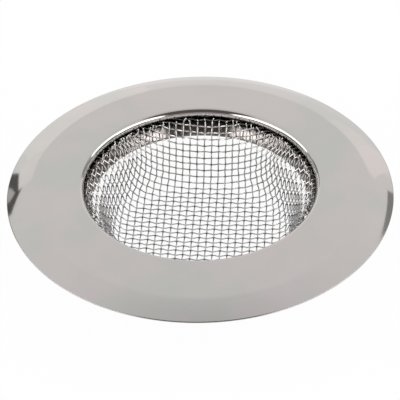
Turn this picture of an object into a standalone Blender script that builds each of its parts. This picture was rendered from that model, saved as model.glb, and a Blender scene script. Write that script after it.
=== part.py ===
"""Sink strainer: a wide stamped brim, a woven wire basket under it, and the band that clamps the two together.

Units are metres and +Z is up. The origin lies on the strainer's axis, in the plane that the basket stands on.
Sections are given as radius and height. Most heights are drops below the crown of the lip, as a drawing gives them.
"""

import bisect
import math

import bmesh
import bpy

# Brim: one stamped sheet with a rolled lip, a short neck and a flange turned out under it
BRIM_RADIUS = 0.05715
SHEET = 0.00045
OPENING_RADIUS = 0.0344
LIP_ROLL = 0.0015
BRIM_SLOPE = 0.117
RIDGE_SHARE = 0.584
RIDGE_SOFTNESS = 0.0100
RIM_BOW = 0.00025
RIM_SOFTNESS = 0.0300
EDGE_DROP = 0.0041
NECK_DEPTH = 0.0025
NECK_BEND = 0.00058
NECK_FLANGE = 0.0037

# Clamp band: a channel closed round the flange and the hem of the cloth, and a tapered band with a curled foot
BAND_SHEET = 0.00040
BAND_CLEAR = 0.0020
BAND_TAPER = 0.0020
BAND_DEPTH = 0.0078
BAND_CURL = 0.00045
CLINCH_REACH = 0.0022
CHANNEL_BEND = 0.00035
BAND_BEND = 0.00070

# Basket: plain-weave wire cloth pressed into a cup
BASKET_DEPTH = 0.02267
MOUTH_INSET = 0.0012
WALL_STEP = 0.00335
WALL_TAPER = 0.0041
WALL_TOP_DROP = 0.0079
FLOOR_RISE = 0.00087
FLAT_SPOT = 0.0080
FLOOR_CORNER = 0.0056
SHOULDER = 0.0058
HEM_TURN = 0.0008
HEM_BACK = 0.0010
GAP_ZONE_DROP = 0.0046

# Cloth: the pitch of its wires both ways, how it lies in the cup, and how three wires are drawn as one bar
WARP_PITCH = 0.002196
WEFT_PITCH = 0.002017
CLOTH_TURN = math.radians(-4.2)
CLOTH_SHIFT = (-0.00067, 0.00057)
WIRES_PER_BAR = 3
BAR_WIDTH = 0.0015
WEB_THICKNESS = 0.0005
CREST = 0.00025

# Gap left between pieces that touch
SEAT_GAP = 0.0003

TURN_STEPS = 60

# Heights and radii that follow from the values above
half_cloth = WEB_THICKNESS / 2 + CREST
crown = BASKET_DEPTH
neck_mid_radius = OPENING_RADIUS + SHEET / 2
neck_flange_height = crown - NECK_DEPTH + SHEET / 2
neck_flange_radius = OPENING_RADIUS + SHEET + NECK_FLANGE
hem_height = crown - NECK_DEPTH - SEAT_GAP - half_cloth
hem_radius = neck_flange_radius - HEM_BACK
mouth_radius = OPENING_RADIUS - MOUTH_INSET
wall_top_radius = mouth_radius - WALL_STEP
floor_radius = wall_top_radius - WALL_TAPER
floor_height = half_cloth
channel_radius = neck_flange_radius + SEAT_GAP + BAND_SHEET / 2
ridge_radius = channel_radius + (BRIM_RADIUS - channel_radius) * RIDGE_SHARE
clinch_height = neck_flange_height + SHEET / 2 + SEAT_GAP + BAND_SHEET / 2
band_shelf_height = hem_height - half_cloth - SEAT_GAP - BAND_SHEET / 2
band_top_radius = mouth_radius - HEM_TURN + BAND_CLEAR
band_foot_radius = band_top_radius - BAND_TAPER


def reset_scene():
    """Remove the objects of the start-up scene."""
    for obj in list(bpy.data.objects):
        bpy.data.objects.remove(obj, do_unlink=True)


def new_collection(name):
    """Return a new collection linked to the scene."""
    collection = bpy.data.collections.new(name)
    bpy.context.scene.collection.children.link(collection)
    return collection


def steel(name, colour, roughness):
    """Return a Principled material for bare stainless steel."""
    material = bpy.data.materials.new(name)
    material.use_nodes = True
    shader = material.node_tree.nodes["Principled BSDF"]
    shader.inputs["Base Color"].default_value = (*colour, 1.0)
    shader.inputs["Roughness"].default_value = roughness
    shader.inputs["Metallic"].default_value = 1.0
    return material


def rounded_path(corners):
    """Return the points of a section whose corners (radius, height, fillet, arc steps) are rounded by arcs.

    Where a side is too short for the fillets at its two ends, they share it in proportion.
    """
    points = [corners[0][:2]]
    for before, corner, after in zip(corners, corners[1:], corners[2:]):
        to_before = (before[0] - corner[0], before[1] - corner[1])
        to_after = (after[0] - corner[0], after[1] - corner[1])
        reach_before = math.hypot(*to_before)
        reach_after = math.hypot(*to_after)
        turn = math.atan2(
            to_before[0] * to_after[1] - to_before[1] * to_after[0],
            to_before[0] * to_after[0] + to_before[1] * to_after[1],
        )
        tangent = corner[2] / abs(math.tan(turn / 2))
        for neighbour, reach in ((before, reach_before), (after, reach_after)):
            tangent = min(tangent, 0.95 * reach * corner[2] / (corner[2] + neighbour[2]))
        fillet = tangent * abs(math.tan(turn / 2))
        start = [corner[k] + to_before[k] / reach_before * tangent for k in (0, 1)]
        side = math.copysign(1.0, turn)
        centre = [
            start[0] - side * to_before[1] / reach_before * fillet,
            start[1] + side * to_before[0] / reach_before * fillet,
        ]
        swing = math.copysign(math.pi - abs(turn), -turn)
        first = math.atan2(start[1] - centre[1], start[0] - centre[0])
        for step in range(corner[3] + 1):
            angle = first + swing * step / corner[3]
            points.append((centre[0] + fillet * math.cos(angle), centre[1] + fillet * math.sin(angle)))
    points.append(corners[-1][:2])
    return points


def turned_sheet(name, section, thickness, material, collection):
    """Turn an open section about the axis and give it the thickness of the sheet."""
    mesh = bpy.data.meshes.new(name)
    edges = [(i, i + 1) for i in range(len(section) - 1)]
    mesh.from_pydata([(radius, 0.0, height) for radius, height in section], edges, [])
    obj = bpy.data.objects.new(name, mesh)
    collection.objects.link(obj)
    obj.data.materials.append(material)
    screw = obj.modifiers.new("turn", "SCREW")
    screw.steps = TURN_STEPS
    screw.render_steps = TURN_STEPS
    screw.use_merge_vertices = True
    screw.merge_threshold = 0.00001
    screw.use_smooth_shade = True
    shell = obj.modifiers.new("sheet", "SOLIDIFY")
    shell.thickness = thickness
    shell.offset = 0.0
    shell.use_even_offset = True
    return obj


def brim_section():
    """Section of the brim's mid-plane, from the foot of the neck up over the lip and out to the edge."""
    lip_height = crown - SHEET / 2 + LIP_ROLL * BRIM_SLOPE
    ridge_height = lip_height - (ridge_radius - neck_mid_radius) * BRIM_SLOPE
    edge_height = crown - EDGE_DROP - SHEET / 2
    rim_middle = (ridge_radius + BRIM_RADIUS) / 2
    return rounded_path(
        [
            (neck_flange_radius, neck_flange_height, 0.0, 1),
            (neck_mid_radius, neck_flange_height, NECK_BEND, 2),
            (neck_mid_radius, lip_height, LIP_ROLL, 4),
            (ridge_radius, ridge_height, RIDGE_SOFTNESS, 2),
            (rim_middle, (ridge_height + edge_height) / 2 + RIM_BOW, RIM_SOFTNESS, 1),
            (BRIM_RADIUS, edge_height, 0.0, 1),
        ]
    )


def band_section():
    """Section of the clamp band's mid-plane, from the clinched lip round the channel and down to the curled foot."""
    foot_height = crown - BAND_DEPTH + BAND_CURL
    path = rounded_path(
        [
            (channel_radius - CLINCH_REACH, clinch_height, 0.0, 1),
            (channel_radius, clinch_height, CHANNEL_BEND, 1),
            (channel_radius, band_shelf_height, CHANNEL_BEND, 1),
            (band_top_radius, band_shelf_height, BAND_BEND, 2),
            (band_foot_radius, foot_height, 0.0, 1),
        ]
    )
    lean = math.atan2(band_top_radius - band_foot_radius, band_shelf_height - foot_height)
    centre = (
        band_foot_radius + BAND_CURL * math.cos(lean),
        foot_height - BAND_CURL * math.sin(lean),
    )
    curl_segments = 5
    curl_turn = math.radians(200)
    for step in range(1, curl_segments + 1):
        angle = math.pi - lean + curl_turn * step / curl_segments
        path.append((centre[0] + BAND_CURL * math.cos(angle), centre[1] + BAND_CURL * math.sin(angle)))
    return path


class CupSurface:
    """The cloth's mid-surface: a section turned about the axis, measured along the section from the axis.

    A place on the cup is a flat pair (x, y): its distance from (0, 0) is the length along the section, and its
    direction is the direction round the axis.
    """

    def __init__(self, section):
        """Store the section's points and the length along it at each of them."""
        self.section = section
        self.lengths = [0.0]
        for (r0, z0), (r1, z1) in zip(section, section[1:]):
            self.lengths.append(self.lengths[-1] + math.hypot(r1 - r0, z1 - z0))

    def length_at_height(self, height):
        """Return the length along the section where the wall reaches a height."""
        for i in range(len(self.section) - 1, 0, -1):
            (r0, z0), (r1, z1) = self.section[i - 1], self.section[i]
            if z0 <= height < z1:
                share = (height - z0) / (z1 - z0)
                return self.lengths[i - 1] + share * (self.lengths[i] - self.lengths[i - 1])
        return self.lengths[-1]

    def point(self, x, y, lift=0.0):
        """Return the point in space at a place on the cup, lifted off the mid-surface to its inner side."""
        length = math.hypot(x, y)
        i = min(bisect.bisect_left(self.lengths, length, lo=1), len(self.lengths) - 1) - 1
        (r0, z0), (r1, z1) = self.section[i], self.section[i + 1]
        span = self.lengths[i + 1] - self.lengths[i]
        share = (length - self.lengths[i]) / span
        radius = r0 + (r1 - r0) * share - (z1 - z0) / span * lift
        height = z0 + (z1 - z0) * share + (r1 - r0) / span * lift
        if length < 1e-9:
            return (0.0, 0.0, height)
        return (radius * x / length, radius * y / length, height)


def cup_surface():
    """Return the cup that the cloth is pressed into, from the middle of its floor to the edge of its hem."""
    section = rounded_path(
        [
            (0.0, floor_height, 0.0, 1),
            (FLAT_SPOT, floor_height, FLAT_SPOT, 4),
            (floor_radius, floor_height + FLOOR_RISE, FLOOR_CORNER, 12),
            (wall_top_radius, crown - WALL_TOP_DROP, SHOULDER, 6),
            (mouth_radius, hem_height, HEM_TURN, 8),
            (hem_radius, hem_height, 0.0, 1),
        ]
    )
    return CupSurface(section)


def fourth_corner(cup, beside, below, diagonal):
    """Place the crossing that lies one warp pitch from beside and one weft pitch from below, by Newton's method."""
    a = cup.point(*beside)
    b = cup.point(*below)

    def misfit(x, y):
        p = cup.point(x, y)
        return math.dist(p, a) - WARP_PITCH, math.dist(p, b) - WEFT_PITCH

    x = beside[0] + below[0] - diagonal[0]
    y = beside[1] + below[1] - diagonal[1]
    step = WARP_PITCH / 1000
    for _ in range(12):
        fa, fb = misfit(x, y)
        if max(abs(fa), abs(fb)) < 1e-8:
            break
        fax, fbx = misfit(x + step, y)
        fay, fby = misfit(x, y + step)
        axx, bxx = (fax - fa) / step, (fbx - fb) / step
        ayy, byy = (fay - fa) / step, (fby - fb) / step
        det = axx * byy - ayy * bxx
        x -= (fa * byy - fb * ayy) / det
        y -= (fb * axx - fa * bxx) / det
    return (x, y)


def next_along(cup, place, direction, pitch):
    """Return the place one pitch further along a straight first wire."""
    start = cup.point(*place)
    low, high = 0.5 * pitch, 2.0 * pitch
    for _ in range(30):
        middle = (low + high) / 2
        ahead = (place[0] + direction[0] * middle, place[1] + direction[1] * middle)
        if math.dist(cup.point(*ahead), start) < pitch:
            low = middle
        else:
            high = middle
    return (place[0] + direction[0] * low, place[1] + direction[1] * low)


def drape_cloth(cup, reach):
    """Drape the cloth: its wires keep their pitch and its square cells shear into diamonds where the cup turns up.

    Returns the places of the crossings by their (warp, weft) numbers, out to where they pass the reach.
    """
    count_u = math.ceil(1.15 * reach / WARP_PITCH) + 2
    count_v = math.ceil(1.15 * reach / WEFT_PITCH) + 2
    net = {(0, 0): CLOTH_SHIFT}
    for sign in (1, -1):
        for i in range(1, count_u):
            net[sign * i, 0] = next_along(cup, net[sign * (i - 1), 0], (sign, 0.0), WARP_PITCH)
        for j in range(1, count_v):
            net[0, sign * j] = next_along(cup, net[0, sign * (j - 1)], (0.0, sign), WEFT_PITCH)
    for su in (1, -1):
        for sv in (1, -1):
            for i in range(1, count_u):
                for j in range(1, count_v):
                    beside = net.get((su * (i - 1), sv * j))
                    below = net.get((su * i, sv * (j - 1)))
                    diagonal = net.get((su * (i - 1), sv * (j - 1)))
                    if beside is None or below is None or diagonal is None:
                        continue
                    if math.hypot(*beside) > reach and math.hypot(*below) > reach:
                        continue
                    net[su * i, sv * j] = fourth_corner(cup, beside, below, diagonal)
    return net


def place_in_net(net, u, v):
    """Return the place at a fractional (warp, weft) number, or None where the net doesn't reach."""
    i, j = math.floor(u), math.floor(v)
    corners = [net.get((i + di, j + dj)) for di, dj in ((0, 0), (1, 0), (0, 1), (1, 1))]
    if None in corners:
        return None
    a, b = u - i, v - j
    weights = ((1 - a) * (1 - b), a * (1 - b), (1 - a) * b, a * b)
    return tuple(sum(w * corner[k] for w, corner in zip(weights, corners)) for k in (0, 1))


def lattice_lines(pitch, count):
    """Return the lattice lines as (number of the wire, -1, 0 or 1 for the bar's side, centre line or other side)."""
    half_bar = BAR_WIDTH / 2 / pitch
    bars = range(-count, count + 1)
    return [(bar * WIRES_PER_BAR + side * half_bar, bar, side) for bar in bars for side in (-1, 0, 1)]


def woven_heights(line_u, line_v, on_flat_spot):
    """Return the lift of the wall's inner and outer face where two lattice lines cross.

    Bars pass over and under each other in turn, so one of the two crests stands proud on each face.
    """
    _, bar_u, side_u = line_u
    _, bar_v, side_v = line_v
    inner = outer = WEB_THICKNESS / 2
    warp_on_top = (bar_u + bar_v) % 2 == 0
    if side_u == 0 and side_v == 0:
        inner = outer = half_cloth
    elif side_u == 0 or side_v == 0:
        if (side_u == 0) == warp_on_top:
            inner = half_cloth
        else:
            outer = half_cloth
    if on_flat_spot:
        outer = half_cloth
    return inner, -outer


def build_basket(material, collection):
    """Build the woven basket as one wall: bars with ridges, open gaps between them, and a plain hem."""
    cup = cup_surface()
    gap_zone = cup.length_at_height(crown - GAP_ZONE_DROP)
    net = drape_cloth(cup, gap_zone + WIRES_PER_BAR * WARP_PITCH)
    count = math.ceil(gap_zone / (WIRES_PER_BAR * WEFT_PITCH)) + 1
    lines_u = lattice_lines(WARP_PITCH, count)
    lines_v = lattice_lines(WEFT_PITCH, count)
    places = {}
    heights = {}
    for iu, line_u in enumerate(lines_u):
        for iv, line_v in enumerate(lines_v):
            place = place_in_net(net, line_u[0], line_v[0])
            if place is not None:
                places[iu, iv] = place
                heights[iu, iv] = woven_heights(line_u, line_v, math.hypot(*place) < FLAT_SPOT)

    cells = []
    for iu in range(len(lines_u) - 1):
        for iv in range(len(lines_v) - 1):
            corners = [(iu, iv), (iu + 1, iv), (iu + 1, iv + 1), (iu, iv + 1)]
            if any(corner not in places for corner in corners):
                continue
            middle = [sum(places[corner][k] for corner in corners) / 4 for k in (0, 1)]
            if math.hypot(*middle) > gap_zone:
                continue
            between_bars = lines_u[iu][2] == 1 and lines_v[iv][2] == 1
            reach = max(math.hypot(*places[corner]) for corner in corners)
            is_gap = between_bars and reach < gap_zone - BAR_WIDTH / 2
            cells.append((corners, "gap" if is_gap else "panel" if between_bars else "bar"))

    outline = outer_loop([corners for corners, _ in cells])
    for key in outline:
        length = math.hypot(*places[key])
        places[key] = tuple(value / length * gap_zone for value in places[key])

    bm = bmesh.new()
    inner = {}
    outer = {}
    plain_wall = (WEB_THICKNESS / 2, -WEB_THICKNESS / 2)

    def add_pair(key, place, lifts):
        inner[key] = bm.verts.new(cup.point(*place, lifts[0]))
        outer[key] = bm.verts.new(cup.point(*place, lifts[1]))

    walls = [corners for corners, kind in cells if kind == "bar"]
    panels = [corners for corners, kind in cells if kind == "panel"]
    for key in sorted({key for corners in walls + panels for key in corners}):
        add_pair(key, places[key], heights[key])
    for corners in panels:
        middle = ("panel", *corners[0])
        add_pair(middle, [sum(places[key][k] for key in corners) / 4 for k in (0, 1)], plain_wall)
        walls += [[a, b, middle] for a, b in zip(corners, corners[1:] + corners[:1])]

    hem_lengths = [length for length in cup.lengths if length > gap_zone + BAR_WIDTH / 2][::4]
    if hem_lengths[-1] < cup.lengths[-1]:
        hem_lengths.append(cup.lengths[-1])
    below = list(outline)
    for ring, length in enumerate(hem_lengths):
        above = [("hem", ring, key) for key in outline]
        for key, ring_key in zip(outline, above):
            place = tuple(value / gap_zone * length for value in places[key])
            add_pair(ring_key, place, heights[key])
        for k in range(len(outline)):
            after = (k + 1) % len(outline)
            walls.append([below[k], above[k], above[after], below[after]])
        below = above

    used = {}
    for corners in walls:
        bm.faces.new([inner[key] for key in corners])
        bm.faces.new([outer[key] for key in reversed(corners)])
        for a, b in zip(corners, corners[1:] + corners[:1]):
            used[a, b] = True
    for a, b in used:
        if (b, a) not in used:
            bm.faces.new([inner[b], inner[a], outer[a], outer[b]])
    bmesh.ops.triangulate(bm, faces=[face for face in bm.faces if len(face.verts) > 3])

    mesh = bpy.data.meshes.new("mesh_basket")
    bm.to_mesh(mesh)
    bm.free()
    obj = bpy.data.objects.new("mesh_basket", mesh)
    obj.rotation_euler[2] = CLOTH_TURN
    obj.data.materials.append(material)
    collection.objects.link(obj)
    return obj


def outer_loop(cells):
    """Return the keys round the outside of a patch of cells, in order, counter-clockwise."""
    edges = {(a, b) for corners in cells for a, b in zip(corners, corners[1:] + corners[:1])}
    follow = {a: b for a, b in edges if (b, a) not in edges}
    start = min(follow)
    loop = [start]
    while follow[loop[-1]] != start:
        loop.append(follow[loop[-1]])
    return loop


def main():
    """Build the strainer's three pieces."""
    reset_scene()
    collection = new_collection("sink_strainer")
    polished = steel("polished_steel", (0.56, 0.54, 0.52), 0.22)
    drawn = steel("band_steel", (0.42, 0.40, 0.39), 0.30)
    wire = steel("wire_steel", (0.50, 0.49, 0.48), 0.28)
    turned_sheet("brim", brim_section(), SHEET, polished, collection)
    turned_sheet("clamp_band", band_section(), BAND_SHEET, drawn, collection)
    build_basket(wire, collection)


if __name__ == "__main__":
    main()
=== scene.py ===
"""Dressed scene of a sink strainer: a polished brim, a clamp band and a basket of plain-weave wire cloth.

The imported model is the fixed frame. Units are metres, +Z is up, and the basket stands on the floor at
height 0.
"""

from __future__ import annotations

import bisect
import logging
import math
import random
from collections.abc import Iterator, Sequence
from dataclasses import dataclass, field
from enum import Enum
from itertools import product
from typing import Any

import bpy
from mathutils import Matrix, Quaternion, Vector


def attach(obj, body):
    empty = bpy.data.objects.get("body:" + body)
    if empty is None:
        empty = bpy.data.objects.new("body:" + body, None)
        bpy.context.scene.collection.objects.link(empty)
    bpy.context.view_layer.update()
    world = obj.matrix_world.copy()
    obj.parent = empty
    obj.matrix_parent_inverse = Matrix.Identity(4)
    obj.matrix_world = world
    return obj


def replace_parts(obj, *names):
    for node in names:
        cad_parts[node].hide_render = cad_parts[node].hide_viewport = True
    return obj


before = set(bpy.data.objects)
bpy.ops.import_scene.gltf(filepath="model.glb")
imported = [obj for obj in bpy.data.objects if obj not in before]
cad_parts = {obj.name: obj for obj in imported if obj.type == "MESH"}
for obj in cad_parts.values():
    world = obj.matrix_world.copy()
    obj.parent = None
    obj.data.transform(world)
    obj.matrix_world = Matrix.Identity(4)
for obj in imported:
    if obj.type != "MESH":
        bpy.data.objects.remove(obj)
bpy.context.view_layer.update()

LOG = logging.getLogger("strainer")
Pair = tuple[float, float]
Colour = tuple[float, float, float]
Corner = tuple[float, float, float, int]
Run = list[tuple[Pair, float]]
Net = dict[tuple[int, int], Pair]

MM = 0.001
BODY = "root"
# Share of a section's side that its two fillets may take
FILLET_SHARE = 0.95
# How much further than the hem the net of crossings is counted out
DRAPE_MARGIN = 1.2
# Steps and tolerance of the two searches for a crossing's place
HALVINGS = 30
NEWTON_STEPS = 10
CLOSE_ENOUGH = 1e-7
# A place nearer than this to the axis has no direction
ON_AXIS = 1e-9


class Slot(Enum):
    """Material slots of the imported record."""

    POLISHED = "polished_steel"
    BAND = "band_steel"
    WIRE = "wire_steel"


class Direction(Enum):
    """The two sets of wires in the cloth."""

    WARP = "warp_wires"
    WEFT = "weft_wires"


# Shader maths


class Channel:
    """A node socket, or a plain number, that takes part in shader maths."""

    def __init__(self, graph: Graph, source: bpy.types.NodeSocket | float) -> None:
        """Keep the graph and the socket or number."""
        self.graph = graph
        self.source = source

    def _math(self, operation: str, first: Any, second: Any) -> Channel:
        """Add a Math node with two inputs and return its output."""
        return self.graph.add("Math", {"operation": operation}, {0: first, 1: second})

    def __add__(self, other: Any) -> Channel:
        """Add."""
        return self._math("ADD", self, other)

    __radd__ = __add__

    def __sub__(self, other: Any) -> Channel:
        """Subtract other from this."""
        return self._math("SUBTRACT", self, other)

    def __rsub__(self, other: Any) -> Channel:
        """Subtract this from other."""
        return self._math("SUBTRACT", other, self)

    def __mul__(self, other: Any) -> Channel:
        """Multiply."""
        return self._math("MULTIPLY", self, other)

    __rmul__ = __mul__

    def __truediv__(self, other: Any) -> Channel:
        """Divide this by other."""
        return self._math("DIVIDE", self, other)

    def clamp(self) -> Channel:
        """Return this, kept between 0 and 1."""
        return self.graph.add("Clamp", {}, {"Value": self})


class Graph:
    """Node tree of a material or world, with one way in for its nodes."""

    def __init__(self, tree: bpy.types.NodeTree) -> None:
        """Clear the tree and keep it."""
        self.tree = tree
        tree.nodes.clear()

    def node(self, kind: str, settings: dict[str, Any], sockets: dict[int | str, Any]) -> bpy.types.Node:
        """Add a node.

        Args:
            kind: the node's type, without ShaderNode.
            settings: properties to set first; a ramp's stops go under "stops".
            sockets: values or links by the input's name or number.

        Returns:
            The new node.
        """
        made = self.tree.nodes.new("ShaderNode" + kind)
        for key, value in settings.items():
            if key == "stops":
                self._set_stops(made, value)
            else:
                setattr(made, key, value)
        for key, value in sockets.items():
            target = made.inputs[key]
            source = value.source if isinstance(value, Channel) else value
            if isinstance(source, bpy.types.NodeSocket):
                self.tree.links.new(source, target)
            else:
                target.default_value = source
        return made

    def add(
        self,
        kind: str,
        settings: dict[str, Any],
        sockets: dict[int | str, Any],
        output: int | str = 0,
    ) -> Channel:
        """Add a node, as node does, and return the output of that name or number."""
        return Channel(self, self.node(kind, settings, sockets).outputs[output])

    @staticmethod
    def _set_stops(made: bpy.types.Node, stops: Sequence[tuple[float, Colour]]) -> None:
        """Give a Color Ramp its stops.

        Args:
            made: the ramp's node.
            stops: the place and colour of each stop.
        """
        elements = made.color_ramp.elements
        while len(elements) < len(stops):
            elements.new(0.5)
        for element, (position, colour) in zip(elements, stops):
            element.position = position
            element.color = (*colour, 1.0)

    def blend(self, factor: Channel, low: Any, high: Any) -> Channel:
        """Mix two colours or links: a factor of 0 gives low and 1 gives high."""
        ends = [(*end, 1.0) if isinstance(end, tuple) else end for end in (low, high)]
        return self.add("Mix", {"data_type": "RGBA"}, {0: factor, 6: ends[0], 7: ends[1]}, 2)

    def noise(self, vector: Channel, scale: float, detail: float = 2.0, roughness: float = 0.5) -> Channel:
        """Return noise around 0.5, with scale lumps to one unit of the vector and detail octaves."""
        sockets = {"Vector": vector, "Scale": scale, "Detail": detail, "Roughness": roughness}
        return self.add("TexNoise", {}, sockets)

    def spread(self, value: Channel, low: float, high: float) -> Channel:
        """Return 0 below low, 1 above high and a smooth rise between."""
        sockets = {"Value": value, "From Min": low, "From Max": high}
        return self.add("MapRange", {"interpolation_type": "SMOOTHSTEP"}, sockets)


class TurnedCoordinates:
    """Coordinates of a piece turned about the Z axis: radius, height, and a direction that has no seam."""

    def __init__(self, graph: Graph) -> None:
        """Read the object coordinates and split them.

        Args:
            graph: the material's nodes.
        """
        self.graph = graph
        self.position = graph.add("TexCoord", {}, {}, "Object")
        parts = graph.node("SeparateXYZ", {}, {0: self.position})
        self.x, self.y, self.height = (Channel(graph, part) for part in parts.outputs)
        squared = self.x * self.x + self.y * self.y
        self.radius = graph.add("Math", {"operation": "SQRT"}, {0: squared})

    def polar(self, around: float, outward: float, upward: float) -> Channel:
        """Make a vector for noise that is drawn out round the axis or along it.

        Args:
            around: units for a radian round the axis.
            outward: units for a metre of radius.
            upward: units for a metre of height.

        Returns:
            The vector.
        """
        turns = [part / self.radius * around for part in (self.x, self.y)]
        sockets = {0: turns[0], 1: turns[1], 2: self.radius * outward + self.height * upward}
        return self.graph.add("CombineXYZ", {}, sockets)


def new_material(name: str) -> tuple[bpy.types.Material, Graph]:
    """Make a material.

    Args:
        name: its name.

    Returns:
        The material and its empty node tree.
    """
    made = bpy.data.materials.new(name)
    made.use_nodes = True
    return made, Graph(made.node_tree)


@dataclass(frozen=True)
class Steel:
    """What the steel finishes share.

    Args:
        name: the material's name.
        colour: its main colour.
        roughness: its mean roughness.
        bump_depth: depth of its relief, in metres.
    """

    name: str
    colour: Colour
    roughness: float
    bump_depth: float = 0.003 * MM

    def material(self) -> bpy.types.Material:
        """Make the finish a material.

        Returns:
            The new material.
        """
        made, graph = new_material(self.name)
        colour, roughness, height = self.surface(graph)
        relief = {"Strength": 0.6, "Distance": self.bump_depth, "Height": height}
        bump = graph.add("Bump", {}, relief, "Normal")
        sockets = {"Base Color": colour, "Roughness": roughness, "Metallic": 1.0, "Normal": bump}
        shader = graph.add("BsdfPrincipled", {}, sockets, "BSDF")
        graph.node("OutputMaterial", {}, {"Surface": shader})
        return made

    def surface(self, graph: Graph) -> tuple[Channel, Channel, Channel]:
        """Lay out the surface.

        Args:
            graph: the material's nodes.

        Returns:
            The colour, the roughness and the height of the relief.
        """
        raise NotImplementedError


@dataclass(frozen=True)
class PolishedSteel(Steel):
    """Bright stamped sheet, polished round the axis, with faint warm and cool clouds.

    Args:
        warm: tint of the warm clouds.
        cool: tint of the cool clouds.
        lined: colour in the polishing lines.
        scuffed: colour of the scuffs.
        cut_edge: colour of the cut edge.
        edge_radius: radius where the cut edge begins.
        edge_spread: length over which the colour changes there.
        neck: darker colour given to the neck and its turned-out flange.
        neck_top: height at which the neck begins.
        neck_reach: radius out to which it is neck.
        neck_fade: lengths over which the neck's colour comes in, downwards and inwards.
        bump_depth: depth of its relief, which is finer than that of the other finishes.
    """

    warm: Colour = (0.66, 0.615, 0.60)
    cool: Colour = (0.60, 0.60, 0.57)
    lined: Colour = (0.50, 0.49, 0.48)
    scuffed: Colour = (0.74, 0.73, 0.72)
    cut_edge: Colour = (0.34, 0.33, 0.32)
    edge_radius: float = 56.90 * MM
    edge_spread: float = 0.10 * MM
    neck: Colour = (0.46, 0.43, 0.42)
    neck_top: float = 21.3 * MM
    neck_reach: float = 39.0 * MM
    neck_fade: Pair = (0.6 * MM, 1.0 * MM)
    bump_depth: float = 0.0015 * MM

    def surface(self, graph: Graph) -> tuple[Channel, Channel, Channel]:
        """Lay out the surface.

        Args:
            graph: the material's nodes.

        Returns:
            The colour, the roughness and the height of the relief.
        """
        turned = TurnedCoordinates(graph)
        clouds = graph.noise(turned.position, 38.0, 3.0, 0.55)
        patches = graph.noise(turned.position, 95.0, 2.0)
        lines = graph.noise(turned.polar(3.0, 9000.0, 0.0), 1.0, 3.0, 0.6)
        broad_lines = graph.noise(turned.polar(2.0, 1500.0, 0.0), 1.0, 2.0)
        scuffs = graph.noise(turned.polar(9.0, 5200.0, 0.0), 1.0, 1.0)
        tint = graph.blend(graph.spread(clouds, 0.38, 0.62), self.cool, self.warm)
        base = graph.blend(graph.spread(patches, 0.45, 0.75) * 0.5, tint, self.colour)
        fine = graph.blend(graph.spread(lines, 0.35, 0.8) * 0.10, base, self.lined)
        marked = graph.blend(graph.spread(scuffs, 0.70, 0.80) * 0.10, fine, self.scuffed)
        at_edge = graph.spread(turned.radius, self.edge_radius, self.edge_radius + self.edge_spread)
        edged = graph.blend(at_edge * 0.7, marked, self.cut_edge)
        low = graph.spread(turned.height, self.neck_top, self.neck_top - self.neck_fade[0])
        on_neck = low * graph.spread(turned.radius, self.neck_reach + self.neck_fade[1], self.neck_reach)
        colour = graph.blend(on_neck * 0.8, edged, self.neck)
        roughness = self.roughness + (broad_lines - 0.5) * 0.05 + (patches - 0.5) * 0.04 + at_edge * 0.12
        return colour, roughness, lines * 0.7 + broad_lines * 0.3


@dataclass(frozen=True)
class DrawnSteel(Steel):
    """Thin drawn band: glossy brown-grey, with lines up the wall, stains, and near-black painted shade in
    the joint.

    Args:
        stain: colour of the stains.
        joint: colour of the painted shade in the joint.
        joint_foot: height at which the painted shade of the joint begins.
        joint_reach: radius out to which the painted shade reaches; the channel outside it has none.
        joint_fade: lengths over which the painted shade comes in, upwards and inwards.
    """

    stain: Colour = (0.14, 0.12, 0.115)
    joint: Colour = (0.07, 0.062, 0.06)
    joint_foot: float = 16.9 * MM
    joint_reach: float = 35.5 * MM
    joint_fade: Pair = (1.4 * MM, 1.0 * MM)

    def surface(self, graph: Graph) -> tuple[Channel, Channel, Channel]:
        """Lay out the surface.

        Args:
            graph: the material's nodes.

        Returns:
            The colour, the roughness and the height of the relief.
        """
        turned = TurnedCoordinates(graph)
        draw_lines = graph.noise(turned.polar(70.0, 0.0, 160.0), 1.0, 3.0, 0.6)
        blotches = graph.noise(turned.position, 260.0, 3.0, 0.6)
        streaked = graph.blend(graph.spread(draw_lines, 0.35, 0.75) * 0.6, self.colour, self.stain)
        blotched = graph.blend(graph.spread(blotches, 0.5, 0.75) * 0.5, streaked, self.stain)
        # Painted shade: near black high in the joint between the band, the flange and the hem.
        high = graph.spread(turned.height, self.joint_foot, self.joint_foot + self.joint_fade[0])
        near = graph.spread(turned.radius, self.joint_reach + self.joint_fade[1], self.joint_reach)
        joint_shade_mask = high * near
        colour = graph.blend(joint_shade_mask, blotched, self.joint)
        roughness = self.roughness + (draw_lines - 0.5) * 0.10 + (blotches - 0.5) * 0.08
        return colour, roughness, draw_lines


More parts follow.
